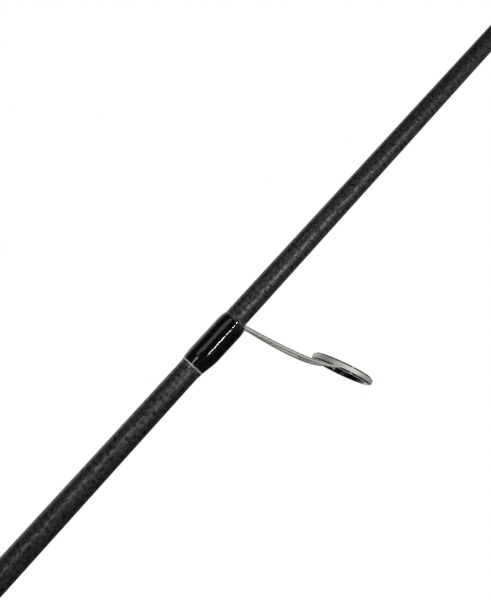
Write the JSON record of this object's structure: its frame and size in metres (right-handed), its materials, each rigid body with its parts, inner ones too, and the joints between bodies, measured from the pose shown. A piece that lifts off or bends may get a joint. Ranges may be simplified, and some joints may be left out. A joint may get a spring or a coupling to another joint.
{
  "type": "spinning rod",
  "caption": "Two-piece carbon spinning rod with cork grips, a screw-lock reel seat, single-foot line guides with ceramic rings, and a spigot joint between its sections.",
  "frame": {"origin": "centre of the butt cap's end face", "axes": "+Z along the blank, from the butt to the tip; +X towards the guides and the reel side"},
  "size_m": [0.0694, 0.029, 1.9786],
  "materials": {
    "carbon": "satin woven carbon",
    "spigot": "ground and waxed",
    "cork": "sanded cork",
    "rubber": "matte",
    "check_metal": "anodised satin",
    "seat_plastic": "satin",
    "arbor_foam": "rigid foam",
    "hood_metal": "anodised satin",
    "nut_metal": "anodised satin",
    "ring_metal": "polished",
    "guide_metal": "polished",
    "ceramic": "polished black",
    "thread": "wound nylon thread",
    "metal_thread": "metallic thread",
    "epoxy": "clear high gloss"
  },
  "bodies": {
    "butt_section": {"butt_cap": "rubber", "butt_grip": "cork", "butt_check": "check_metal", "rear_check": "check_metal", "rear_grip": "cork", "seat_body": "seat_plastic", "rear_arbor": "arbor_foam", "front_arbor": "arbor_foam", "fixed_hood": "hood_metal", "fore_grip": "cork", "fore_check": "check_metal", "butt_blank": "carbon", "spigot": "spigot", "keeper_base": "guide_metal", "keeper_wraps": "thread", "keeper_epoxy": "epoxy", "lower_ferrule_wrap": "thread", "lower_ferrule_epoxy": "epoxy", "guide_1_frame": "guide_metal", "guide_1_insert": "ceramic", "guide_1_wrap": "thread", "guide_1_epoxy": "epoxy", "guide_1_trim": "metal_thread"},
    "tip_section": {"tip_blank": "carbon", "upper_ferrule_wrap": "thread", "upper_ferrule_epoxy": "epoxy", "tip_trims": "metal_thread", "guide_2_frame": "guide_metal", "guide_2_insert": "ceramic", "guide_2_wrap": "thread", "guide_2_epoxy": "epoxy", "guide_3_frame": "guide_metal", "guide_3_insert": "ceramic", "guide_3_wrap": "thread", "guide_3_epoxy": "epoxy", "guide_4_frame": "guide_metal", "guide_4_insert": "ceramic", "guide_4_wrap": "thread", "guide_4_epoxy": "epoxy", "guide_5_frame": "guide_metal", "guide_5_insert": "ceramic", "guide_5_wrap": "thread", "guide_5_epoxy": "epoxy", "guide_6_frame": "guide_metal", "guide_6_insert": "ceramic", "guide_6_wrap": "thread", "guide_6_epoxy": "epoxy", "tip_top_frame": "guide_metal", "tip_top_insert": "ceramic", "tip_top_wrap": "thread", "tip_top_epoxy": "epoxy"},
    "hood": {"sliding_hood": "hood_metal", "hood_liner": "seat_plastic"},
    "nut": {"lock_nut": "nut_metal", "nut_ring": "ring_metal"},
    "keeper": {"keeper_loop": "guide_metal"}
  },
  "joints": [
    {"name": "ferrule_slide", "type": "slide", "parent": "butt_section", "child": "tip_section", "axis": [0, 0, 1], "range_m": [0, 0.1]},
    {"name": "hood_slide", "type": "slide", "parent": "butt_section", "child": "hood", "axis": [0, 0, 1], "range_m": [0, 0.025]},
    {"name": "nut_spin", "type": "hinge", "parent": "hood", "child": "nut", "pos_m": [0, 0, 0.375], "axis": [0, 0, 1], "range_deg": [0, 3600]},
    {"name": "keeper_fold", "type": "hinge", "parent": "butt_section", "child": "keeper", "pos_m": [-0.00709, 0, 0.512], "axis": [0, 1, 0], "range_deg": [0, 175]}
  ],
  "couplings": [
    {"joint": "hood_slide", "follows": "nut_spin", "m_per_rad": 0.00039789}
  ]
}
